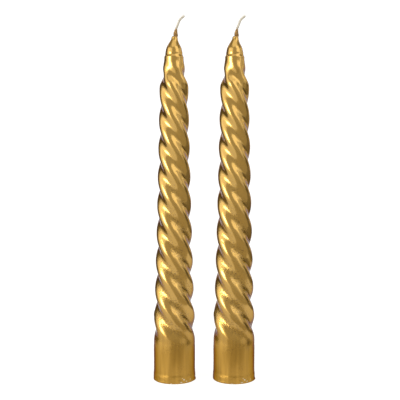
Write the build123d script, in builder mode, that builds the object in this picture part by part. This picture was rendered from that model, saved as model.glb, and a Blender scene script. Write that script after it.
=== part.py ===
"""A pair of spiral taper candles: twisted wax bodies, gold coats and braided wicks.

Millimetres, +Z up. The origin is on the standing surface, midway between the two candles,
and +X is to the right of someone who stands in front of them. Both candles are alike, so
one is modelled on the Z axis and placed twice.
"""
from build123d import *
from math import ceil, cos, pi, radians, sin, tan
import os

os.makedirs("parts", exist_ok=True)

# The pair
CANDLE_SPACING = 32.5

# Shank: the plain round foot that stands in a candle holder
SHANK_DIAMETER = 22.5
SHANK_HEIGHT = 20.0
RIM_ROUNDING = 0.5

# Twisted body, measured over the gold coat; it stands in from the shank by a fine ledge
TWIST_LEDGE = 0.05
TWIST_LENGTH = 136.5
TAPER_DELAY = 13.0
TAPER_POWER = 0.82
SHOULDER_DIAMETER = 15.6

# Flutes: round lobes that climb to the left, one whole turn in each pitch
LOBE_COUNT = 4
TWIST_PITCH = 61.0
LOBE_ON_X_HEIGHT = 96.5
FLUTE_DEPTH_SHARE = 0.19
FLUTE_POWER = 1.05
FLUTE_RUN_IN = 12.5
FLUTE_RUN_OUT = 9.5
FLUTE_PAST_SHOULDER = 17.0

# Neck and tip: three soft steps, each with a plain band under it, and a rounded cone
SHOULDER_BAND = 2.5
COLLAR_STEP = 7.8
COLLAR_DIAMETER = 12.2
COLLAR_BAND = 1.6
NECK_STEP = 4.0
NECK_DIAMETER = 10.4
NECK_BAND = 1.8
CONE_STEP = 3.8
CONE_DIAMETER = 8.6
CONE_LENGTH = 7.2
TIP_DIAMETER = 3.3
TIP_SKEW = 0.45
TIP_SKEW_LENGTH = 2.7

# Gold coat
COAT_THICKNESS = 0.35
COAT_EDGE_HEIGHT = 0.2

# Wick: straight up the middle, then bent to the right through the tip
WICK_DIAMETER = 1.25
WICK_FIT = 0.03
WICK_BEND_BELOW_TIP = 10.2
WICK_RISE = 11.0
WICK_REACH = 5.2
WICK_ROUTE_SHARES = ((0.22, 0.67), (0.50, 0.85), (1.00, 1.00))
CORNER_SHARE = 0.45

# Lacquered wax on the root of the wick
SLEEVE_HEIGHT = 4.2
SLEEVE_FOOT_DIAMETER = 2.4
SLEEVE_TOP_DIAMETER = 1.6
SLEEVE_SECTION_SHARES = ((0.0, 0.00), (0.28, 0.08), (0.55, 0.40), (0.75, 0.90), (1.0, 1.00))

# How finely the form is drawn, and how far cuts run past
SECTIONS_PER_TURN = 24
NECK_SECTIONS = 22
LOBE_POINTS = 8
OVERRUN = 2.0

# Diameter and levels of the body, worked out from the lengths above
twist_diameter = SHANK_DIAMETER - 2 * TWIST_LEDGE
taper_start = SHANK_HEIGHT + TAPER_DELAY
shoulder_level = SHANK_HEIGHT + TWIST_LENGTH
collar_start = shoulder_level + SHOULDER_BAND
collar_level = collar_start + COLLAR_STEP
neck_start = collar_level + COLLAR_BAND
neck_level = neck_start + NECK_STEP
cone_start = neck_level + NECK_BAND
cone_level = cone_start + CONE_STEP
tip_level = cone_level + CONE_LENGTH
flute_end = shoulder_level + FLUTE_PAST_SHOULDER

# Steps of the neck: from a level, to a level, and how much the diameter shrinks
neck_steps = (
    (collar_start, collar_level, SHOULDER_DIAMETER - COLLAR_DIAMETER),
    (neck_start, neck_level, COLLAR_DIAMETER - NECK_DIAMETER),
    (cone_start, cone_level, NECK_DIAMETER - CONE_DIAMETER),
    (cone_level, tip_level, CONE_DIAMETER - TIP_DIAMETER),
)


def clamped(share):
    """Keep a share between none and all."""
    return min(max(share, 0), 1)


def eased(share):
    """Run smoothly from none to all, level at both ends."""
    share = clamped(share)
    return share * share * (3 - 2 * share)


def body_radius(level):
    """Outer radius of the body at a level, over the lobes."""
    taper = clamped((level - taper_start) / (shoulder_level - taper_start)) ** TAPER_POWER
    diameter = twist_diameter - (twist_diameter - SHOULDER_DIAMETER) * taper
    for low, high, shrink in neck_steps:
        diameter -= shrink * eased((level - low) / (high - low))
    return diameter / 2


def flute_depth_share(level):
    """Depth of the flutes at a level, as a share of the radius: they fade out at both ends."""
    fade_in = eased((level - SHANK_HEIGHT) / FLUTE_RUN_IN)
    fade_out = eased((flute_end - level) / FLUTE_RUN_OUT)
    return FLUTE_DEPTH_SHARE * min(fade_in, fade_out)


def section_levels():
    """Levels of the body's sections: evenly up the twist, then more closely up the neck."""
    twist_count = ceil(TWIST_LENGTH / TWIST_PITCH * SECTIONS_PER_TURN)
    twist = [SHANK_HEIGHT + TWIST_LENGTH * i / twist_count for i in range(twist_count)]
    neck_length = tip_level - shoulder_level
    neck = [shoulder_level + neck_length * i / NECK_SECTIONS for i in range(NECK_SECTIONS + 1)]
    return twist + neck


def lobed_section(level, inset):
    """Draw the section at a level, moved in by an inset: one spline over each lobe."""
    radius = body_radius(level) - inset
    depth = flute_depth_share(level)
    turn = -2 * pi * (level - LOBE_ON_X_HEIGHT) / TWIST_PITCH
    skew = TIP_SKEW * eased((level - tip_level) / TIP_SKEW_LENGTH + 1)
    half_lobe = pi / LOBE_COUNT
    steps = [i / LOBE_POINTS for i in range(LOBE_POINTS + 1)]
    with BuildSketch(Plane.XY.offset(level)) as section:
        with BuildLine():
            for lobe in range(LOBE_COUNT):
                points = []
                for i in range(LOBE_POINTS + 1):
                    across = half_lobe * (2 * i / LOBE_POINTS - 1)
                    dip = depth * abs(sin(LOBE_COUNT * across / 2)) ** (2 * FLUTE_POWER)
                    angle = turn + 2 * half_lobe * lobe + across
                    reach = radius * (1 - dip)
                    points.append((skew + reach * cos(angle), reach * sin(angle)))
                add(Edge.make_spline(points, parameters=steps))
        make_face()
    return section.sketch


def candle_form(inset, rim):
    """Make the body's solid form, moved in by an inset, with a rounded rim at its base."""
    with BuildPart() as form:
        with BuildSketch(Plane.XY):
            Circle(SHANK_DIAMETER / 2 - inset)
        extrude(amount=SHANK_HEIGHT)
        fillet(form.edges().group_by(Axis.Z)[0], radius=rim)
        loft([lobed_section(level, inset) for level in section_levels()])
    return form.part


def wick_points(overrun):
    """Corners of the wick's route, across and up, from an overrun below the base to the bare tip."""
    bend_level = tip_level - WICK_BEND_BELOW_TIP
    bend_height = WICK_BEND_BELOW_TIP + WICK_RISE
    points = [(0, -overrun), (0, bend_level)]
    for reach_share, height_share in WICK_ROUTE_SHARES:
        points.append((WICK_REACH * reach_share, bend_level + bend_height * height_share))
    return points


def corner_radii(points):
    """Radius of the arc at each corner of a route, as large as its two runs allow."""
    corners = [Vector(*point) for point in points]
    runs = [after - before for before, after in zip(corners, corners[1:])]
    radii = []
    for run, following in zip(runs, runs[1:]):
        half_turn = radians(run.get_angle(following)) / 2
        radii.append(CORNER_SHARE * min(run.length, following.length) / tan(half_turn))
    return radii


def wick_rod(diameter, overrun):
    """Sweep a round rod along the wick's route, which starts an overrun below the base."""
    points = wick_points(overrun)
    with BuildPart() as rod:
        with BuildLine(Plane.XZ):
            FilletPolyline(*points, radius=corner_radii(points))
        with BuildSketch(Plane.XY.offset(-overrun)):
            Circle(diameter / 2)
        sweep()
    return rod.part


def wick_place(level):
    """How far to the right the wick stands at a level on its first sloping run."""
    (_, foot), (reach, top) = wick_points(0)[1:3]
    return reach * (level - foot) / (top - foot)


wax_form = candle_form(COAT_THICKNESS, RIM_ROUNDING - COAT_THICKNESS)
wick_bore = wick_rod(WICK_DIAMETER + 2 * WICK_FIT, OVERRUN)

# Wax body, with the wick's bore from its base to its tip
with BuildPart() as wax_body:
    add(wax_form)
    add(wick_bore, mode=Mode.SUBTRACT)

# Gold coat: a thin skin over the wax, open at the tip, its lower edge just above the cut base
with BuildPart() as gold_coat:
    add(candle_form(0, RIM_ROUNDING))
    with BuildSketch():
        Circle(SHANK_DIAMETER / 2)
    extrude(amount=COAT_EDGE_HEIGHT, mode=Mode.SUBTRACT)
    add(wax_form, mode=Mode.SUBTRACT)

# Wick, from the cut base to the bare end
with BuildPart() as wick:
    add(wick_rod(WICK_DIAMETER, 0))

# Lacquered wax on the root of the wick, seated on the tip of the body
with BuildPart() as wick_sleeve:
    for height_share, narrowing in SLEEVE_SECTION_SHARES:
        level = tip_level + SLEEVE_HEIGHT * height_share
        diameter = SLEEVE_FOOT_DIAMETER - (SLEEVE_FOOT_DIAMETER - SLEEVE_TOP_DIAMETER) * narrowing
        with BuildSketch(Plane.XY.offset(level)):
            with Locations((wick_place(level), 0)):
                Circle(diameter / 2)
    loft()
    add(wick_bore, mode=Mode.SUBTRACT)

pieces = {"wax_body": wax_body, "gold_coat": gold_coat, "wick": wick, "wick_sleeve": wick_sleeve}
sides = {"left": -CANDLE_SPACING / 2, "right": CANDLE_SPACING / 2}

for side, centre in sides.items():
    for name, piece in pieces.items():
        placed = piece.part.moved(Location((centre, 0, 0)))
        placed.label = f"{side}_{name}"
        export_step(placed, f"parts/{placed.label}.step")
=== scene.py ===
"""Dresses the pair of spiral taper candles: lacquered coats, waxed wicks and a plain studio.

The script is laid out as an add-on and is run as a script. Lengths inside the shape functions
are in millimetres, as on the candle maker's drawing, and every finished mesh is in metres.
"""

from math import atan2, ceil, cos, exp, pi, radians, sin

import bmesh
import bpy
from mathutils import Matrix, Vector, noise


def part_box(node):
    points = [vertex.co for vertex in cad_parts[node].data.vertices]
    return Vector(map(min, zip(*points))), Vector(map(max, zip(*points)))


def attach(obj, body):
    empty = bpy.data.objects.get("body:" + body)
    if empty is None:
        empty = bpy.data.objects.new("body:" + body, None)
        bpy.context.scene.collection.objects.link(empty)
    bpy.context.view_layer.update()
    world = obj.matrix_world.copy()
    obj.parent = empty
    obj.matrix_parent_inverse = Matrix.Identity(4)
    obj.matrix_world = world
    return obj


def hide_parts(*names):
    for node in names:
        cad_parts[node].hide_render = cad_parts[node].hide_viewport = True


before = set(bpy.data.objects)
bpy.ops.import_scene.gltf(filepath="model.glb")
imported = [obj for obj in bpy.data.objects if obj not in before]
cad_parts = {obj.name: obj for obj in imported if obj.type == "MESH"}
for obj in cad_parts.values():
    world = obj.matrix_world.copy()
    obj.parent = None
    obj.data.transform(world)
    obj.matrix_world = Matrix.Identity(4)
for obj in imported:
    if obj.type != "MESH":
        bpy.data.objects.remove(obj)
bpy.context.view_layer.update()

bl_info = {
    "name": "Spiral Candle Pair",
    "version": (1, 0, 0),
    "blender": (4, 5, 0),
    "location": "View3D > Sidebar > Candles",
    "description": "Two spiral taper candles with gold coats, on a white studio sweep",
    "category": "Add Mesh",
}

MM = 0.001
SIDES = ("left", "right")

# Body of the candle over its coat
SHANK_RADIUS = 11.25
SHANK_HEIGHT = 20.0
RIM_ROUNDING = 0.5
COAT_THICKNESS = 0.35
TWIST_DIAMETER = 22.4
TAPER_START = 33.0
TAPER_POWER = 0.82
SHOULDER_DIAMETER = 15.6
SHOULDER_LEVEL = 156.5
TIP_LEVEL = 185.2
NECK_STEPS = ((159.0, 166.8, 3.4), (167.0, 174.2, 1.8), (174.4, 176.3, 1.2), (176.6, 178.6, 0.6),
              (178.0, 185.2, 5.3))
NECK_GROOVE_LEVEL = 175.5
NECK_GROOVE_DEPTH = 0.045
NECK_GROOVE_WIDTH = 0.4
FOOT_FLARE = 0.16
FOOT_FLARE_TOP = 4.9
FOOT_FLARE_RUN = 1.6
LOBE_COUNT = 4
LOBE_ON_X_HEIGHT = 96.3
FLUTE_POWER = 1.2
FLUTE_FLAT = 0.035
FLUTE_RUN_IN = 12.5
FLUTE_RUN_OUT = 9.5
FLUTE_END = 173.5


def linear(hex_colour):
    """Turn an sRGB hex colour into the linear colour that a shader takes."""
    parts = [int(hex_colour[i:i + 2], 16) / 255 for i in (1, 3, 5)]
    return [p / 12.92 if p <= 0.04045 else ((p + 0.055) / 1.055) ** 2.4 for p in parts] + [1.0]


def clamped(share):
    """Keep a share between none and all."""
    return min(max(share, 0), 1)


def eased(share):
    """Run smoothly from none to all, level at both ends."""
    share = clamped(share)
    return share * share * (3 - 2 * share)


def candle_centre(side):
    """Where a candle's axis stands across the pair, in metres."""
    low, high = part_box(f"{side}_wax_body")
    return (low[0] + high[0]) / 2


def body_radius(level):
    """Outer radius of the body at a level, over the lobes."""
    taper = clamped((level - TAPER_START) / (SHOULDER_LEVEL - TAPER_START)) ** TAPER_POWER
    diameter = TWIST_DIAMETER - (TWIST_DIAMETER - SHOULDER_DIAMETER) * taper
    for low, high, shrink in NECK_STEPS:
        diameter -= shrink * eased((level - low) / (high - low))
    if level < SHANK_HEIGHT:
        return SHANK_RADIUS + FOOT_FLARE * eased((FOOT_FLARE_TOP - level) / FOOT_FLARE_RUN)
    groove = NECK_GROOVE_DEPTH * exp(-((level - NECK_GROOVE_LEVEL) / NECK_GROOVE_WIDTH) ** 2)
    return diameter / 2 - groove


def lobe_turn(level, pitch):
    """Angle of the first lobe at a level: it climbs to the left."""
    return -2 * pi * (level - LOBE_ON_X_HEIGHT) / pitch


def flute_dip(across, level, depth_share):
    """How far a flute cuts in at an angle from the middle of a lobe, as a share of the radius."""
    fade_in = eased((level - SHANK_HEIGHT) / FLUTE_RUN_IN)
    fade_out = eased((FLUTE_END - level) / FLUTE_RUN_OUT)
    wave = abs(sin(LOBE_COUNT * across / 2)) ** (2 * FLUTE_POWER)
    wave += FLUTE_FLAT * sin(LOBE_COUNT * across) ** 2
    return depth_share * min(fade_in, fade_out) * wave


def bump_at(angle, level, centre_angle, centre_level, width, height):
    """A soft round bump over the coat: one at its middle, none past its width and height."""
    round_trip = (angle - centre_angle + pi) % (2 * pi) - pi
    across = round_trip * body_radius(centre_level) / width
    return exp(-across * across - ((level - centre_level) / height) ** 2)


class CandleSettings(bpy.types.PropertyGroup):
    """Sizes and colours of the candles."""

    pitch: bpy.props.FloatProperty(
        name="Twist pitch", description="Height of one whole turn of the twist",
        default=0.0608, min=0.02, subtype="DISTANCE", unit="LENGTH")
    flute_depth: bpy.props.FloatProperty(
        name="Flute depth", description="Depth of the flutes as a share of the radius",
        default=0.185, min=0.0, max=0.4, subtype="FACTOR")
    unevenness: bpy.props.FloatProperty(
        name="Unevenness", description="Height of the slow waves that dipping leaves in the coat",
        default=0.00007, min=0.0, subtype="DISTANCE", unit="LENGTH")
    gold: bpy.props.FloatVectorProperty(
        name="Gold", description="Colour of the gold lacquer",
        default=linear("#BA964F")[:3], size=3, min=0.0, max=1.0, subtype="COLOR")
    wax: bpy.props.FloatVectorProperty(
        name="Wax", description="Colour of the bare wax at the cut base",
        default=linear("#EFE6CC")[:3], size=3, min=0.0, max=1.0, subtype="COLOR")
    cotton: bpy.props.FloatVectorProperty(
        name="Cotton", description="Colour of the clean end of the wick",
        default=linear("#CFC8BC")[:3], size=3, min=0.0, max=1.0, subtype="COLOR")


class StudioSettings(bpy.types.PropertyGroup):
    """Lamps and surroundings."""

    key_watts: bpy.props.FloatProperty(
        name="Key softbox", description="Power of the large softbox on the left",
        default=2.4, min=0.0, unit="POWER")
    core_watts: bpy.props.FloatProperty(
        name="Key core", description="Power of the bare middle of the key softbox",
        default=2.5, min=0.0, unit="POWER")
    fill_watts: bpy.props.FloatProperty(
        name="Fill softbox", description="Power of the small softbox high on the right",
        default=1.0, min=0.0, unit="POWER")
    side_watts: bpy.props.FloatProperty(
        name="Side reflector", description="Power of the long low reflector on the right",
        default=0.6, min=0.0, unit="POWER")
    top_watts: bpy.props.FloatProperty(
        name="Top softbox", description="Power of the softbox overhead",
        default=2.2, min=0.0, unit="POWER")
    room_front: bpy.props.FloatVectorProperty(
        name="Room in front", description="Colour of the room on the side that the candles face",
        default=linear("#DEDBCE")[:3], size=3, min=0.0, max=1.0, subtype="COLOR")
    room_back: bpy.props.FloatVectorProperty(
        name="Room behind", description="Colour of the darker room at the sides and behind",
        default=linear("#A09C92")[:3], size=3, min=0.0, max=1.0, subtype="COLOR")
    paper: bpy.props.FloatVectorProperty(
        name="Paper", description="Colour of the background paper by its own light",
        default=linear("#B3B0A8")[:3], size=3, min=0.0, max=1.0, subtype="COLOR")


def add_node(tree, kind, settings=None, links=None):
    """Add a node, set its sockets and properties, and link its inputs."""
    node = tree.nodes.new(kind)
    for name, value in (settings or {}).items():
        if isinstance(name, int) or name in node.inputs:
            node.inputs[name].default_value = value
        else:
            setattr(node, name, value)
    for name, source in (links or {}).items():
        tree.links.new(source, node.inputs[name])
    return node


def new_material(name):
    """Start an empty node material and return it with its tree."""
    material = bpy.data.materials.new(name)
    material.use_nodes = True
    material.node_tree.nodes.clear()
    return material, material.node_tree


# Where the gold film changes up the candle, in metres: dull below, clear above; the shank's darker
# tint, partly painted shade, reaches a little higher, and crumbs of powder lie in the lower half
DULL_FILM_TOP = 0.016
CLEAR_FILM_FOOT = 0.030
PAINTED_SHANK_SHADE_TOP = 0.045
CRUMBS_FULL_BELOW = 0.080
CRUMBS_FEW_ABOVE = 0.125


def gold_lacquer(name, centre, gold, wax):
    """Gold lacquer, dipped and air dried over wax: bronze powder under a clear film.

    It mirrors softly on the twist under the clear film, is more satin on the shank where
    fingers and moulds dull it, and has flaked off the cut rim in crumbs that show the wax.
    """
    material, tree = new_material(name)
    place = add_node(tree, "ShaderNodeTexCoord")
    local = add_node(tree, "ShaderNodeMapping",
                     {"vector_type": "POINT", "Location": (-centre, 0, 0)},
                     {"Vector": place.outputs["Object"]})
    split = add_node(tree, "ShaderNodeSeparateXYZ", links={0: local.outputs[0]})
    # Faint upright streaks where the lacquer ran down the shank, 1.5 mm apart, in a tint darker
    # than the twist's: the streaks are the film's own, the darkness is partly painted shade for the
    # dimmer surroundings that the shank mirrors
    upright = add_node(tree, "ShaderNodeMapping", {"vector_type": "POINT", "Scale": (1, 1, 0.06)},
                       {"Vector": local.outputs[0]})
    streaks = add_node(tree, "ShaderNodeTexNoise", {"Scale": 1 / (1.5 * MM), "Detail": 2.0},
                       {"Vector": upright.outputs[0]})
    shank_streaks_and_painted_shade = add_node(tree, "ShaderNodeMix",
                        {"data_type": "RGBA", 6: linear("#8C6A2C"), 7: linear("#BE9344")},
                        {0: streaks.outputs["Fac"]})
    # Cloudy drift in the colour of the film on the twist, 14 mm across
    clouds = add_node(tree, "ShaderNodeTexNoise", {"Scale": 1 / (14 * MM), "Detail": 2.0},
                      {"Vector": local.outputs[0]})
    drift = add_node(tree, "ShaderNodeMix",
                     {"data_type": "RGBA", 6: (*gold, 1), 7: linear("#B38C43")},
                     {0: clouds.outputs["Fac"]})
    # Up the candle the shank's darker tint, partly painted shade, gives way to the twist's gold
    on_twist = add_node(tree, "ShaderNodeMapRange",
                        {"From Min": DULL_FILM_TOP, "From Max": PAINTED_SHANK_SHADE_TOP},
                        {"Value": split.outputs["Z"]})
    tint = add_node(tree, "ShaderNodeMix", {"data_type": "RGBA"},
                    {0: on_twist.outputs[0], 6: shank_streaks_and_painted_shade.outputs[2], 7: drift.outputs[2]})
    # Rougher on the shank than on the twist, and streaked
    height = add_node(tree, "ShaderNodeMapRange",
                      {"From Min": DULL_FILM_TOP, "From Max": CLEAR_FILM_FOOT,
                       "To Min": 0.33, "To Max": 0.19},
                      {"Value": split.outputs["Z"]})
    rough = add_node(tree, "ShaderNodeMath", {"operation": "MULTIPLY_ADD", 1: 0.16},
                     {0: streaks.outputs["Fac"], 2: height.outputs[0]})
    satin = add_node(tree, "ShaderNodeMath", {"operation": "SUBTRACT", 1: 0.08},
                     {0: rough.outputs[0]})
    # Orange peel of the dried film, grains of 1.3 mm
    peel = add_node(tree, "ShaderNodeTexNoise", {"Scale": 1 / (1.3 * MM), "Detail": 1.0},
                    {"Vector": local.outputs[0]})
    bump = add_node(tree, "ShaderNodeBump", {"Strength": 0.12, "Distance": 0.05 * MM},
                    {"Height": peel.outputs["Fac"]})
    # Crumbs of undissolved powder, 0.3 mm but drawn at 0.6 mm to show: they collect in the
    # flutes of the lower half
    crumbs = add_node(tree, "ShaderNodeTexNoise", {"Scale": 1 / (0.6 * MM), "Detail": 1.0},
                      {"Vector": local.outputs[0]})
    flute = add_node(tree, "ShaderNodeAttribute", {"attribute_name": "flute"})
    patches = add_node(tree, "ShaderNodeTexNoise", {"Scale": 1 / (9 * MM), "Detail": 1.0},
                       {"Vector": local.outputs[0]})
    gathered = add_node(tree, "ShaderNodeMath", {"operation": "MULTIPLY_ADD", 1: 0.45},
                        {0: flute.outputs["Fac"], 2: patches.outputs["Fac"]})
    where = add_node(tree, "ShaderNodeMapRange", {"From Min": 0.60, "From Max": 0.85},
                     {"Value": gathered.outputs[0]})
    low = add_node(tree, "ShaderNodeMapRange",
                   {"From Min": CRUMBS_FULL_BELOW, "From Max": CRUMBS_FEW_ABOVE,
                    "To Min": 1.0, "To Max": 0.1},
                   {"Value": split.outputs["Z"]})
    gritty = add_node(tree, "ShaderNodeMath", {"operation": "MULTIPLY"},
                      {0: where.outputs[0], 1: low.outputs[0]})
    grit = add_node(tree, "ShaderNodeBump", {"Distance": 0.12 * MM},
                    {"Strength": gritty.outputs[0], "Height": crumbs.outputs["Fac"],
                     "Normal": bump.outputs[0]})
    speck = add_node(tree, "ShaderNodeMapRange",
                     {"From Min": 0.52, "From Max": 0.66, "To Max": 0.7},
                     {"Value": crumbs.outputs["Fac"]})
    specks = add_node(tree, "ShaderNodeMath", {"operation": "MULTIPLY"},
                      {0: speck.outputs[0], 1: gritty.outputs[0]})
    speckled = add_node(tree, "ShaderNodeMix", {"data_type": "RGBA", 7: linear("#6E5222")},
                        {0: specks.outputs[0], 6: tint.outputs[2]})
    # The clear film is worn thin on the shank
    clear = add_node(tree, "ShaderNodeMapRange",
                     {"From Min": DULL_FILM_TOP, "From Max": CLEAR_FILM_FOOT,
                      "To Min": 0.06, "To Max": 0.5},
                     {"Value": split.outputs["Z"]})
    film = add_node(tree, "ShaderNodeBsdfPrincipled",
                    {"Metallic": 1.0, "Coat Roughness": 0.07, "Specular Tint": linear("#6E5228")},
                    {"Base Color": speckled.outputs[2], "Roughness": satin.outputs[0],
                     "Coat Weight": clear.outputs[0],
                     "Normal": grit.outputs[0]})
    bare_wax = add_node(tree, "ShaderNodeBsdfPrincipled",
                        {"Base Color": (*wax, 1), "Roughness": 0.5, "IOR": 1.44},
                        {"Normal": grit.outputs[0]})
    bare = add_node(tree, "ShaderNodeAttribute", {"attribute_name": "bare"})
    finish = add_node(tree, "ShaderNodeMixShader",
                      links={0: bare.outputs["Fac"], 1: film.outputs[0], 2: bare_wax.outputs[0]})
    add_node(tree, "ShaderNodeOutputMaterial", links={"Surface": finish.outputs[0]})
    return material


# Saw marks 6.9 mm apart: a wave texture of scale 1 has a band every 2 pi / 20 metres
SAW_MARK_SCALE = 2 * pi / 20 / (6.912 * MM)


def candle_wax(name, colour):
    """Paraffin and stearin wax, cast and sawn off: ivory, faintly see-through, with saw marks."""
    material, tree = new_material(name)
    place = add_node(tree, "ShaderNodeTexCoord")
    marks = add_node(tree, "ShaderNodeTexWave",
                     {"bands_direction": "X", "Scale": SAW_MARK_SCALE, "Distortion": 1.5,
                      "Detail": 2.0},
                     {"Vector": place.outputs["Object"]})
    clouds = add_node(tree, "ShaderNodeTexNoise", {"Scale": 1 / (5 * MM), "Detail": 3.0},
                      {"Vector": place.outputs["Object"]})
    tint = add_node(tree, "ShaderNodeMix",
                    {"data_type": "RGBA", 6: (*colour, 1), 7: linear("#DDCFA6")},
                    {0: clouds.outputs["Fac"]})
    bump = add_node(tree, "ShaderNodeBump", {"Strength": 0.35, "Distance": 0.08 * MM},
                    {"Height": marks.outputs["Fac"]})
    shader = add_node(tree, "ShaderNodeBsdfPrincipled",
                      {"Roughness": 0.45, "IOR": 1.44, "Subsurface Weight": 0.3,
                       "Subsurface Radius": (0.004, 0.003, 0.002), "Subsurface Scale": 0.5},
                      {"Base Color": tint.outputs[2], "Normal": bump.outputs[0]})
    add_node(tree, "ShaderNodeOutputMaterial", links={"Surface": shader.outputs[0]})
    return material


# Where the wick's brown stain ends, in metres
STAIN_FOOT = 0.1875
STAIN_TOP = 0.191


def wick_cotton(name, colour):
    """Cotton, braided and dipped in wax: off-white, dull, stained brown at its root."""
    material, tree = new_material(name)
    place = add_node(tree, "ShaderNodeTexCoord")
    split = add_node(tree, "ShaderNodeSeparateXYZ", links={0: place.outputs["Object"]})
    height = add_node(tree, "ShaderNodeMapRange", {"From Min": STAIN_FOOT, "From Max": STAIN_TOP},
                      {"Value": split.outputs["Z"]})
    fibres = add_node(tree, "ShaderNodeTexNoise", {"Scale": 1 / (0.12 * MM), "Detail": 2.0},
                      {"Vector": place.outputs["Object"]})
    tint = add_node(tree, "ShaderNodeMix",
                    {"data_type": "RGBA", 6: linear("#8A6A43"), 7: (*colour, 1)},
                    {0: height.outputs[0]})
    bump = add_node(tree, "ShaderNodeBump", {"Strength": 0.5, "Distance": 0.05 * MM},
                    {"Height": fibres.outputs["Fac"]})
    shader = add_node(tree, "ShaderNodeBsdfPrincipled",
                      {"Roughness": 0.75, "Sheen Weight": 0.2},
                      {"Base Color": tint.outputs[2], "Normal": bump.outputs[0]})
    add_node(tree, "ShaderNodeOutputMaterial", links={"Surface": shader.outputs[0]})
    return material


def lacquered_wick(name):
    """Wax drip soaked with lacquer: uneven brown gold, half metallic."""
    material, tree = new_material(name)
    place = add_node(tree, "ShaderNodeTexCoord")
    patches = add_node(tree, "ShaderNodeTexNoise", {"Scale": 1 / (0.9 * MM), "Detail": 2.0},
                       {"Vector": place.outputs["Object"]})
    tint = add_node(tree, "ShaderNodeMix",
                    {"data_type": "RGBA", 6: linear("#6E4F2A"), 7: linear("#C79A5B")},
                    {0: patches.outputs["Fac"]})
    shader = add_node(tree, "ShaderNodeBsdfPrincipled", {"Metallic": 0.6, "Roughness": 0.4},
                      {"Base Color": tint.outputs[2]})
    add_node(tree, "ShaderNodeOutputMaterial", links={"Surface": shader.outputs[0]})
    return material


def finish_piece(name, bm, material, nodes):
    """Make an object from a bmesh in millimetres, let it ride and stand for its CAD nodes."""
    bmesh.ops.scale(bm, vec=(MM, MM, MM), verts=bm.verts)
    mesh = bpy.data.meshes.new(name)
    bm.to_mesh(mesh)
    bm.free()
    mesh.materials.append(material)
    mesh.shade_smooth()
    piece = bpy.data.objects.new(name, mesh)
    bpy.context.collection.objects.link(piece)
    # The photograph shows one candle twice, so neither gold coat mirrors the other candle
    piece.visible_glossy = False
    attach(piece, "root")
    if nodes:
        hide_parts(*nodes)
    return piece


def extruded_ring(bm, edges):
    """Extrude a ring of edges and return the new ring's vertices and edges."""
    grown = bmesh.ops.extrude_edge_only(bm, edges=edges)["geom"]
    verts = [part for part in grown if isinstance(part, bmesh.types.BMVert)]
    return verts, [part for part in grown if isinstance(part, bmesh.types.BMEdge)]


# Rings of the coat: fine over the cut base, even up the twist, and a coarse inner wall
COAT_SEGMENTS = 192
RIM_LEVELS = 18
RIM_ZONE = 5.4
SHANK_LEVELS = 8
TWIST_LEVEL_STEP = 0.75
NECK_START = 172.25
NECK_LEVEL_STEP = 0.35
INNER_LEVEL_STEP = 5.0
TIP_SKEW = 0.45
TIP_TILT = 0.15
TIP_TILT_LENGTH = 4.5

TIP_TILT_PIVOT = 0.6

# Waves of the dipping: how long the slow and the quick ones are, the quick ones' share, and
# where they calm down towards the tip
WAVE_LENGTH = 7.0
RIPPLE_LENGTH = 2.6
RIPPLE_SHARE = 0.4
CALM_LEVEL = 176.0
CALM_RUN = 6.0
CALM_SHARE = 0.8

# Crumbling of the rim: the run over which it fades, and height and length of its two grains
CRUMBLE_RUN = 2.4
CRUMBLE = ((0.13, 1.7), (0.07, 0.7))

# A fault or flake is left out where it is this many heights away
BUMP_REACH = 3

# How sharply a flake bares the wax
FLAKE_GAIN = 2
FLAKE_EDGE = 0.6

# The tip's dome closes over the wax towards the wick: rise over the tip's level and inset
TIP_DOME = ((0.18, 0.12), (0.42, 0.35), (0.46, 0.62), (0.42, 0.85), (0.33, 0.98))

# Small faults of the coat: angle from the right in degrees, level, width, height, lift
FAULTS = (
    (-135.0, 76.3, 0.35, 0.35, -0.22),
    (-128.5, 59.1, 0.35, 0.35, -0.22),
    (-178.0, 36.9, 0.7, 2.0, 0.3),
    (-8.0, 0.4, 4.5, 0.7, 0.4),
    (-150.0, 0.5, 6.0, 0.5, 0.12),
    (-62.0, 2.2, 0.5, 0.5, 0.22),
    (-70.0, 1.0, 0.6, 0.45, 0.25),
    (-76.0, 1.6, 0.4, 0.5, 0.2),
    (-52.0, 1.3, 0.4, 0.4, 0.2),
)

# Crumbs of lacquer that have flaked off the cut rim: angle, level, width, height
FLAKES = (
    (-62.0, 2.2, 0.5, 0.45),
    (-70.0, 0.9, 0.7, 0.3),
    (-54.0, 1.2, 0.45, 0.35),
    (-66.0, 3.0, 0.25, 0.25),
    (-40.0, 1.9, 0.3, 0.3),
    (-97.0, 0.3, 0.5, 0.2),
    (-150.0, 0.4, 0.5, 0.2),
    (15.0, 1.2, 0.5, 0.5),
    (60.0, 0.8, 0.6, 0.4),
    (110.0, 1.4, 0.5, 0.5),
    (160.0, 0.9, 0.5, 0.4),
)


def coat_levels():
    """Levels of the coat's outer rings, from its lower edge to the tip."""
    rim = [RIM_ZONE * i / RIM_LEVELS for i in range(RIM_LEVELS)]
    shank = [RIM_ZONE + (SHANK_HEIGHT - RIM_ZONE) * i / SHANK_LEVELS for i in range(SHANK_LEVELS)]
    count = ceil((NECK_START - SHANK_HEIGHT) / TWIST_LEVEL_STEP)
    twist = [SHANK_HEIGHT + (NECK_START - SHANK_HEIGHT) * i / count for i in range(count)]
    count = ceil((TIP_LEVEL - NECK_START) / NECK_LEVEL_STEP)
    neck = [NECK_START + (TIP_LEVEL - NECK_START) * i / count for i in range(count + 1)]
    return rim + shank + twist + neck


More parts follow.
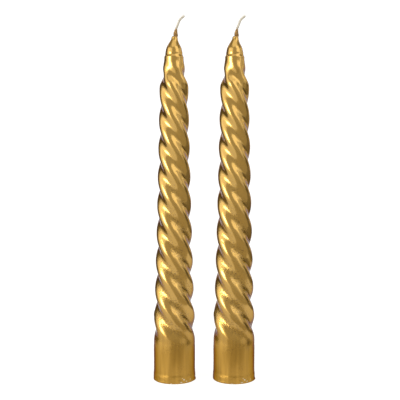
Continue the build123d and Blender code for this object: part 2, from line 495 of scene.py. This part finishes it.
def coat_unevenness(angle, level, radius, settings):
    """Slow waves of the dipping, the crumbled rim of the base, and the small faults."""
    spot = Vector((radius * cos(angle), radius * sin(angle), level))
    wave = settings.unevenness / MM * (1 - CALM_SHARE * eased((level - CALM_LEVEL) / CALM_RUN))
    height = wave * noise.noise(spot / WAVE_LENGTH)
    height += RIPPLE_SHARE * wave * noise.noise(spot / RIPPLE_LENGTH)
    if level < RIM_ZONE:
        share = eased((FOOT_FLARE_TOP - level) / CRUMBLE_RUN)
        height += share * sum(lift * noise.noise(spot / length) for lift, length in CRUMBLE)
    for fault_angle, fault_level, width, tall, lift in FAULTS:
        if abs(level - fault_level) < BUMP_REACH * tall:
            height += lift * bump_at(angle, level, radians(fault_angle), fault_level, width, tall)
    return height


def bare_share(angle, level):
    """How bare the wax is at a point of the outer face: all where a crumb has flaked off."""
    share = 0.0
    for flake_angle, flake_level, width, tall in FLAKES:
        if abs(level - flake_level) < BUMP_REACH * tall:
            share += bump_at(angle, level, radians(flake_angle), flake_level, width, tall)
    return clamped(FLAKE_GAIN * share - FLAKE_EDGE)


def coat_place(across, level, inset, settings):
    """Place a point of the coat, from its angle across the lobes, its level and an inset."""
    angle = across + lobe_turn(level, settings.pitch / MM)
    radius = (body_radius(level) - inset) * (1 - flute_dip(across, level, settings.flute_depth))
    if inset == 0:
        rise = max(1 - level / RIM_ROUNDING, 0)
        radius -= RIM_ROUNDING * (1 - (1 - rise * rise) ** 0.5)
        radius += coat_unevenness(angle, level, radius, settings)
    tip_share = eased((level - TIP_LEVEL) / TIP_TILT_LENGTH + 1)
    x = TIP_SKEW * tip_share + radius * cos(angle)
    drop = TIP_TILT * tip_share * (x + TIP_TILT_PIVOT)
    return angle, Vector((x, radius * sin(angle), level - drop))


def coat_piece(side, settings):
    """Build one gold coat as a closed shell: outer face, dome at the tip and inner wall."""
    centre = candle_centre(side)
    inner_count = ceil(TIP_LEVEL / INNER_LEVEL_STEP)
    outer = [(level, 0) for level in coat_levels()]
    dome = [(TIP_LEVEL + rise, inset) for rise, inset in TIP_DOME]
    inner = [(TIP_LEVEL * (1 - i / inner_count), COAT_THICKNESS) for i in range(inner_count + 1)]
    bm = bmesh.new()
    around = bm.verts.layers.float.new("around")
    bare = bm.verts.layers.float.new("bare")
    flute = bm.verts.layers.float.new("flute")
    verts = bmesh.ops.create_circle(bm, cap_ends=False, segments=COAT_SEGMENTS, radius=1.0)["verts"]
    for vert in verts:
        vert[around] = atan2(vert.co.y, vert.co.x)
    lower_edge = edges = bm.edges[:]
    for count, (level, inset) in enumerate(outer + dome + inner):
        if count:
            verts, edges = extruded_ring(bm, edges)
        for vert in verts:
            angle, vert.co = coat_place(vert[around], level, inset, settings)
            vert[bare] = bare_share(angle, level) if inset == 0 and level < RIM_ZONE else 0.0
            vert[flute] = flute_dip(vert[around], level, 1.0)
    bmesh.ops.bridge_loops(bm, edges=lower_edge + edges)
    bmesh.ops.recalc_face_normals(bm, faces=bm.faces)
    bmesh.ops.translate(bm, vec=(centre / MM, 0, 0), verts=bm.verts)
    bm.verts.layers.float.remove(around)
    material = gold_lacquer(f"Gold lacquer on wax, {side} candle", centre, settings.gold,
                            settings.wax)
    return finish_piece(f"{side}_coat", bm, material, [f"{side}_gold_coat"])


# Wick: the corners of its route, across and up, and its plait
WICK_ROUTE = ((0.0, 0.3), (0.0, 60.0), (0.0, 120.0), (0.0, 166.0), (0.35, 180.0), (0.95, 187.0),
              (1.0, 189.2), (2.2, 192.0), (2.9, 194.2), (4.5, 195.7), (5.3, 196.3))
ROUTE_STEPS = 90
STRAND_COUNT = 3
STRAND_RADIUS = 0.46
PLAIT_WIDTH = 0.22
PLAIT_DEPTH = 0.12
PLAIT_PITCH = 3.6
FIBRE_COUNT = 9
FIBRE_RADIUS = 0.09
FIBRE_STEPS = 4
FIBRE_ROOT = 0.6
FIBRE_TURN = 0.4


def smooth_line(points, steps):
    """Points along one smooth NURBS line that the given points steer."""
    curve = bpy.data.curves.new("line", "CURVE")
    curve.dimensions = "3D"
    curve.resolution_u = steps
    spline = curve.splines.new("NURBS")
    spline.points.add(len(points) - 1)
    for point, place in zip(spline.points, points):
        point.co = (*place, 1.0)
    spline.order_u = 3
    spline.use_endpoint_u = True
    holder = bpy.data.objects.new("line", curve)
    mesh = bpy.data.meshes.new_from_object(holder)
    line = [vert.co.copy() for vert in mesh.vertices]
    bpy.data.objects.remove(holder)
    bpy.data.curves.remove(curve)
    bpy.data.meshes.remove(mesh)
    return line


def strands_mesh(strands, radius):
    """Turn lines of (point, share of the radius) into round capped strands in one bmesh."""
    curve = bpy.data.curves.new("strands", "CURVE")
    curve.dimensions = "3D"
    curve.bevel_depth = radius
    curve.bevel_resolution = 2
    curve.use_fill_caps = True
    for strand in strands:
        spline = curve.splines.new("POLY")
        spline.points.add(len(strand) - 1)
        for point, (place, share) in zip(spline.points, strand):
            point.co = (*place, 1.0)
            point.radius = share
    holder = bpy.data.objects.new("strands", curve)
    mesh = bpy.data.meshes.new_from_object(holder)
    bm = bmesh.new()
    bm.from_mesh(mesh)
    bpy.data.objects.remove(holder)
    bpy.data.curves.remove(curve)
    bpy.data.meshes.remove(mesh)
    return bm


def plaited_strands(line):
    """Offset each strand of the plait from the wick's line: a figure of eight in every pitch."""
    strands = [[] for _ in range(STRAND_COUNT)]
    travelled = 0.0
    for i, place in enumerate(line):
        before, after = line[max(i - 1, 0)], line[min(i + 1, len(line) - 1)]
        along = (after - before).normalized()
        if i:
            travelled += (place - line[i - 1]).length
        sideways = Vector((along.z, 0.0, -along.x))
        for number, strand in enumerate(strands):
            phase = 2 * pi * (travelled / PLAIT_PITCH + number / STRAND_COUNT)
            shift = PLAIT_WIDTH * sin(phase) * sideways
            shift.y = PLAIT_DEPTH * sin(2 * phase)
            strand.append((place + shift, 1.0))
    return strands


def frayed_fibres(line):
    """Loose fibres that fan out of the wick's cut end."""
    end, along = line[-1], (line[-1] - line[-4]).normalized()
    sideways = Vector((along.z, 0.0, -along.x))
    fibres = []
    for number in range(FIBRE_COUNT):
        turn = 2 * pi * number / FIBRE_COUNT + FIBRE_TURN
        # No two fibres lean or reach alike
        spread = 0.3 + 0.25 * sin(5.0 * number + 1.0)
        reach = 1.1 + 0.45 * cos(3.0 * number)
        lean = sideways * cos(turn) * spread
        lean.y = sin(turn) * spread
        start = end - along * FIBRE_ROOT + lean * FIBRE_ROOT
        fibres.append([(start + (along + lean) * reach * step / FIBRE_STEPS, 1.0 - 0.15 * step)
                       for step in range(FIBRE_STEPS + 1)])
    return fibres


def wick_piece(side, settings):
    """Build one wick: three plaited strands from the cut base to the frayed end."""
    centre = candle_centre(side)
    route = smooth_line([(x, 0.0, z) for x, z in WICK_ROUTE], ROUTE_STEPS)
    bm = strands_mesh(plaited_strands(route), STRAND_RADIUS)
    loose = strands_mesh(frayed_fibres(route), FIBRE_RADIUS)
    holder = bpy.data.meshes.new("loose")
    loose.to_mesh(holder)
    loose.free()
    bm.from_mesh(holder)
    bpy.data.meshes.remove(holder)
    bmesh.ops.translate(bm, vec=(centre / MM, 0, 0), verts=bm.verts)
    material = wick_cotton(f"Waxed cotton braid, {side} candle", settings.cotton)
    return finish_piece(f"{side}_braid", bm, material, [f"{side}_wick"])


# Drip on the wick's root: level, place across, half width
DRIP_SECTIONS = ((182.6, 1.35, 0.35), (183.2, 1.25, 0.75), (184.2, 1.1, 0.95), (185.2, 0.95, 1.0),
                 (186.0, 0.95, 1.15), (186.8, 0.9, 1.18), (187.4, 0.9, 1.12), (188.0, 0.98, 0.95),
                 (188.5, 1.05, 0.8), (189.0, 1.15, 0.7), (189.3, 1.2, 0.6))
DRIP_SEGMENTS = 28
DRIP_RINGS_EACH = 3
DRIP_KNOB_HEIGHT = 0.22
DRIP_KNOB_DENSITY = 1.6
DRIP_STRETCH = 0.9


def drip_piece(side, settings):
    """Build the knobbly drip of lacquered wax on the root of one wick."""
    centre = candle_centre(side)
    rings = []
    for below, above in zip(DRIP_SECTIONS, DRIP_SECTIONS[1:]):
        for i in range(DRIP_RINGS_EACH):
            share = i / DRIP_RINGS_EACH
            rings.append([a + (b - a) * share for a, b in zip(below, above)])
    rings.append(DRIP_SECTIONS[-1])
    bm = bmesh.new()
    around = bm.verts.layers.float.new("around")
    bmesh.ops.create_circle(bm, cap_ends=True, segments=DRIP_SEGMENTS, radius=1.0)
    for vert in bm.verts:
        vert[around] = atan2(vert.co.y, vert.co.x)
    lid = bm.faces[:]
    for count, (level, across, half_width) in enumerate(rings):
        if count:
            grown = bmesh.ops.extrude_face_region(bm, geom=lid)["geom"]
            lid = [part for part in grown if isinstance(part, bmesh.types.BMFace)]
        for vert in lid[0].verts:
            angle = vert[around]
            spot = Vector((cos(angle), sin(angle), level / DRIP_STRETCH))
            radius = half_width * (1 + DRIP_KNOB_HEIGHT * noise.noise(spot * DRIP_KNOB_DENSITY))
            vert.co = (across + radius * cos(angle), radius * sin(angle), level)
    bmesh.ops.recalc_face_normals(bm, faces=bm.faces)
    bmesh.ops.translate(bm, vec=(centre / MM, 0, 0), verts=bm.verts)
    material = lacquered_wick(f"Lacquered wax drip, {side} candle")
    return finish_piece(f"{side}_drip", bm, material, [f"{side}_wick_sleeve"])


def look_at(spot, target):
    """Turn of a lamp or camera at a spot that faces a target."""
    return (Vector(target) - Vector(spot)).to_track_quat("-Z", "Y").to_euler()


# Middle of the candles, which all softboxes face
AIM = (0, 0, 0.1)

# Softboxes: name, azimuth from the camera's side, elevation, distance, width, height, setting
SOFTBOXES = (
    ("key_softbox", -60, 15, 0.8, 0.92, 0.8, "key_watts"),
    ("key_core", -52, 11, 0.78, 0.28, 0.34, "core_watts"),
    ("fill_softbox", 48, 40, 0.8, 0.5, 0.45, "fill_watts"),
    ("side_reflector", 95, 22, 0.8, 0.9, 0.28, "side_watts"),
    ("top_softbox", 0, 80, 0.9, 0.9, 0.9, "top_watts"),
)


def softbox(name, azimuth, elevation, distance, width, height, watts):
    """Hang a rectangular softbox around the candles, by its angles from the camera's side."""
    target = Vector(AIM)
    turn, rise = radians(azimuth), radians(elevation)
    spot = target + distance * Vector((sin(turn) * cos(rise), -cos(turn) * cos(rise), sin(rise)))
    lamp = bpy.data.lights.new(name, "AREA")
    lamp.shape = "RECTANGLE"
    lamp.size, lamp.size_y, lamp.energy = width, height, watts
    holder = bpy.data.objects.new(name, lamp)
    holder.visible_camera = False
    holder.location = spot
    holder.rotation_euler = look_at(spot, target)
    bpy.context.collection.objects.link(holder)


class CANDLES_OT_coats(bpy.types.Operator):
    """Build the gold coats of both candles"""

    bl_idname = "candles.coats"
    bl_label = "Gold coats"

    def execute(self, context):
        for side in SIDES:
            coat_piece(side, context.scene.candles)
        return {"FINISHED"}


class CANDLES_OT_wicks(bpy.types.Operator):
    """Build the plaited wicks and the drips at their roots"""

    bl_idname = "candles.wicks"
    bl_label = "Wicks"

    def execute(self, context):
        for side in SIDES:
            wick_piece(side, context.scene.candles)
            drip_piece(side, context.scene.candles)
        return {"FINISHED"}


class CANDLES_OT_wax(bpy.types.Operator):
    """Give the wax bodies their wax, which shows at the cut bases"""

    bl_idname = "candles.wax"
    bl_label = "Wax bodies"

    def execute(self, context):
        material = candle_wax("Cast candle wax", context.scene.candles.wax)
        for side in SIDES:
            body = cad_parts[f"{side}_wax_body"]
            # As with the coats, the other candle doesn't mirror it
            body.visible_glossy = False
            for holder in body.material_slots:
                holder.material = material
        return {"FINISHED"}


class CANDLES_OT_studio(bpy.types.Operator):
    """Set up the white sweep, the softboxes, the room and the camera"""

    bl_idname = "candles.studio"
    bl_label = "Studio"

    def execute(self, context):
        studio = context.scene.studio
        sweep_piece(studio)
        for card in CARDS:
            card_piece(*card)
        for *place, watts in SOFTBOXES:
            softbox(*place, getattr(studio, watts))
        room(studio)
        add_camera()
        context.scene.view_settings.view_transform = "Standard"
        return {"FINISHED"}


def paper_sweep(studio):
    """Matt white paper over the table and up the walls.

    It lights the candles as a pale stone-grey surface would. To the eye, in the gold and through
    clear things it glows up to white. The candles' shadow on it is then as faint as in the
    photograph.
    """
    material, tree = new_material("Matt background paper")
    matt = add_node(tree, "ShaderNodeBsdfDiffuse", {"Color": (*studio.paper, 1)})
    dimmed = add_node(tree, "ShaderNodeBsdfDiffuse", {"Color": linear("#909090")})
    glow = add_node(tree, "ShaderNodeEmission", {"Color": linear("#FFFFFF"), "Strength": 0.9})
    lit = add_node(tree, "ShaderNodeAddShader", links={0: dimmed.outputs[0], 1: glow.outputs[0]})
    path = add_node(tree, "ShaderNodeLightPath")
    direct = add_node(tree, "ShaderNodeMath", {"operation": "ADD", "use_clamp": True},
                      {0: path.outputs["Is Camera Ray"], 1: path.outputs["Is Glossy Ray"]})
    seen = add_node(tree, "ShaderNodeMath", {"operation": "ADD", "use_clamp": True},
                    {0: direct.outputs[0], 1: path.outputs["Is Transmission Ray"]})
    mixed = add_node(tree, "ShaderNodeMixShader",
                     links={0: seen.outputs[0], 1: matt.outputs[0], 2: lit.outputs[0]})
    add_node(tree, "ShaderNodeOutputMaterial", links={"Surface": mixed.outputs[0]})
    return material


def card_felt(name, colour):
    """Felt-covered card: matt and even, with a faint nap."""
    material, tree = new_material(name)
    place = add_node(tree, "ShaderNodeTexCoord")
    nap = add_node(tree, "ShaderNodeTexNoise", {"Scale": 1 / (20 * MM), "Detail": 2.0},
                   {"Vector": place.outputs["Object"]})
    faint = add_node(tree, "ShaderNodeMapRange", {"To Max": 0.1}, {"Value": nap.outputs["Fac"]})
    tint = add_node(tree, "ShaderNodeMix",
                    {"data_type": "RGBA", 6: linear(colour), 7: linear(FELT_SHADE)},
                    {0: faint.outputs[0]})
    matt = add_node(tree, "ShaderNodeBsdfDiffuse", links={"Color": tint.outputs[2]})
    add_node(tree, "ShaderNodeOutputMaterial", links={"Surface": matt.outputs[0]})
    return material


# Cards that lie on the paper outside the picture and shade what the gold mirrors: name, colour,
# corners on the floor in metres, and the height to which the last side stands up
FELT_SHADE = "#6E6A62"
CARD_LIFT = 0.001
CARDS = (
    ("front_card", "#D4D0C2",
     ((-0.03, -0.042), (-0.45, -1.2), (1.2, -1.2), (1.2, -0.3), (0.11, -0.042)), 0.0),
    ("right_card", "#A5A196",
     ((1.2, -0.3), (0.112, -0.04), (0.25, 0.5), (1.2, 0.58)), 0.75),
    ("left_card", "#97938A",
     ((-0.50, 0.15), (-0.13, 0.02), (-0.25, 0.45), (-0.42, 0.55)), 0.45),
)


def card_piece(name, colour, corners, height):
    """Lay a felt card on the paper and stand its far side up: only the gold shows it."""
    bm = bmesh.new()
    verts = [bmesh.ops.create_vert(bm, co=(x, y, CARD_LIFT))["vert"][0] for x, y in corners]
    bmesh.ops.contextual_create(bm, geom=verts)
    if height:
        far_side = [edge for edge in bm.edges if set(edge.verts) == {verts[0], verts[-1]}]
        grown, _ = extruded_ring(bm, far_side)
        bmesh.ops.translate(bm, vec=(0, 0, height), verts=grown)
    mesh = bpy.data.meshes.new(name)
    bm.to_mesh(mesh)
    bm.free()
    mesh.materials.append(card_felt(f"Felt, {name}", colour))
    card = bpy.data.objects.new(name, mesh)
    # Hidden from the camera, from diffuse light and from shadows, the cards are painted
    # reflections: grey surroundings that only the gold mirrors
    card.visible_camera = card.visible_diffuse = card.visible_shadow = False
    bpy.context.collection.objects.link(card)


# The paper in metres: half its width and depth, its middle towards the camera, the walls' height
# and the radius of the bend
SWEEP_HALF_SIZE = (1.5, 1.05)
SWEEP_MIDDLE = -0.45
WALL_HEIGHT = 1.0
BEND_RADIUS = 0.25
BEND_SEGMENTS = 16


def sweep_piece(studio):
    """Lay the paper over the table and bend it up into walls behind and at both sides."""
    bm = bmesh.new()
    bmesh.ops.create_grid(bm, x_segments=1, y_segments=1, size=1.0)
    bmesh.ops.scale(bm, vec=(*SWEEP_HALF_SIZE, 1.0), verts=bm.verts)
    bmesh.ops.translate(bm, vec=(0, SWEEP_MIDDLE, 0), verts=bm.verts)
    feet = [edge for edge in bm.edges if max(vert.co.y for vert in edge.verts) > 0]
    grown, _ = extruded_ring(bm, feet)
    bmesh.ops.translate(bm, vec=(0, 0, WALL_HEIGHT), verts=grown)
    corners = [edge for edge in bm.edges if edge not in feet and edge.is_manifold
               and abs(edge.verts[0].co.z - edge.verts[1].co.z) > WALL_HEIGHT / 2]
    bmesh.ops.bevel(bm, geom=feet + corners, offset=BEND_RADIUS, offset_type="OFFSET",
                    segments=BEND_SEGMENTS, profile=0.5, affect="EDGES", material=-1)
    bmesh.ops.recalc_face_normals(bm, faces=bm.faces)
    mesh = bpy.data.meshes.new("sweep")
    bm.to_mesh(mesh)
    bm.free()
    mesh.materials.append(paper_sweep(studio))
    mesh.shade_smooth()
    sweep = bpy.data.objects.new("sweep", mesh)
    bpy.context.collection.objects.link(sweep)


def room(studio):
    """Plain dim room, a little warm, darker at the sides and behind than in front."""
    world = bpy.data.worlds.new("Room")
    world.use_nodes = True
    tree = world.node_tree
    tree.nodes.clear()
    place = add_node(tree, "ShaderNodeTexCoord")
    split = add_node(tree, "ShaderNodeSeparateXYZ", links={0: place.outputs["Generated"]})
    behind = add_node(tree, "ShaderNodeMapRange",
                      {"interpolation_type": "SMOOTHSTEP", "From Min": -0.4, "From Max": 0.3},
                      {"Value": split.outputs["Y"]})
    colour = add_node(tree, "ShaderNodeMix",
                      {"data_type": "RGBA", 6: (*studio.room_front, 1), 7: (*studio.room_back, 1)},
                      {0: behind.outputs[0]})
    light = add_node(tree, "ShaderNodeBackground", links={"Color": colour.outputs[2]})
    add_node(tree, "ShaderNodeOutputWorld", links={"Surface": light.outputs[0]})
    bpy.context.scene.world = world


# The photograph's camera: focal length and width of the picture in pixels, place in metres, tip
# downwards in degrees
FOCAL_PIXELS = 830
PICTURE_PIXELS = 400
SENSOR_WIDTH = 36.0
CAMERA_PLACE = (-0.0023, -0.4477, 0.12705)
CAMERA_TIP = 3.7


def add_camera():
    """Set the camera as the photograph has it: level with the upper half, tipped down a little."""
    lens = bpy.data.cameras.new("Camera")
    lens.sensor_width = SENSOR_WIDTH
    lens.lens = SENSOR_WIDTH * FOCAL_PIXELS / PICTURE_PIXELS
    lens.clip_start = 0.01
    camera = bpy.data.objects.new("Camera", lens)
    camera.location = CAMERA_PLACE
    camera.rotation_euler = (radians(90 - CAMERA_TIP), 0, 0)
    bpy.context.collection.objects.link(camera)
    bpy.context.scene.camera = camera


class CANDLES_PT_panel(bpy.types.Panel):
    """Sizes, colours and steps of the pair of candles"""

    bl_idname = "CANDLES_PT_panel"
    bl_label = "Spiral candles"
    bl_space_type = "VIEW_3D"
    bl_region_type = "UI"
    bl_category = "Candles"

    def draw(self, context):
        for settings in (context.scene.candles, context.scene.studio):
            for name in settings.bl_rna.properties.keys():
                if name not in {"rna_type", "name"}:
                    self.layout.prop(settings, name)
        for step in STEPS:
            self.layout.operator(step.bl_idname)


STEPS = (CANDLES_OT_coats, CANDLES_OT_wicks, CANDLES_OT_wax, CANDLES_OT_studio)
CLASSES = (CandleSettings, StudioSettings, *STEPS, CANDLES_PT_panel)


def register():
    for cls in CLASSES:
        bpy.utils.register_class(cls)
    bpy.types.Scene.candles = bpy.props.PointerProperty(type=CandleSettings)
    bpy.types.Scene.studio = bpy.props.PointerProperty(type=StudioSettings)


def unregister():
    del bpy.types.Scene.studio
    del bpy.types.Scene.candles
    for cls in reversed(CLASSES):
        bpy.utils.unregister_class(cls)


def main():
    register()
    bpy.ops.candles.coats()
    bpy.ops.candles.wicks()
    bpy.ops.candles.wax()
    bpy.ops.candles.studio()


if __name__ == "__main__":
    main()
